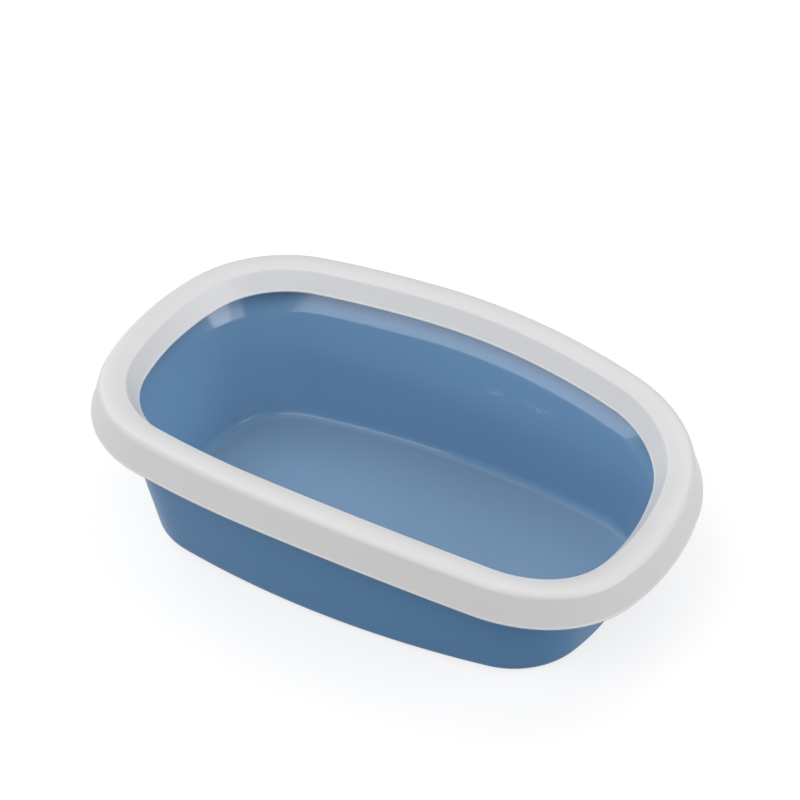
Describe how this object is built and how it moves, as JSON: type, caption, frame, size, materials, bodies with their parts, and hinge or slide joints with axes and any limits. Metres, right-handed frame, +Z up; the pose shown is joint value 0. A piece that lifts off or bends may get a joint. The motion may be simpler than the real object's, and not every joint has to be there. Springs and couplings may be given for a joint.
{
  "type": "cat litter tray with rim frame",
  "caption": "Open cat litter box: a deep blue tray with flared walls and a removable white rim frame that dips toward a lowered entry end.",
  "frame": {"origin": "on the ground under the middle of the plan outline, at the bottom centre of the whole part's bounding box", "axes": "+X along the length toward the lowered entry end, +Y to the left across the width, +Z up"},
  "size_m": [0.58, 0.386, 0.176],
  "materials": {
    "tray_plastic": "gloss",
    "rim_plastic": "satin"
  },
  "bodies": {
    "tray": {"tray": "tray_plastic"},
    "rim": {"rim_frame": "rim_plastic"}
  },
  "joints": [
    {"name": "rim_lift", "type": "slide", "parent": "tray", "child": "rim", "axis": [0, 0, 1], "range_m": [0, 0.08]}
  ]
}
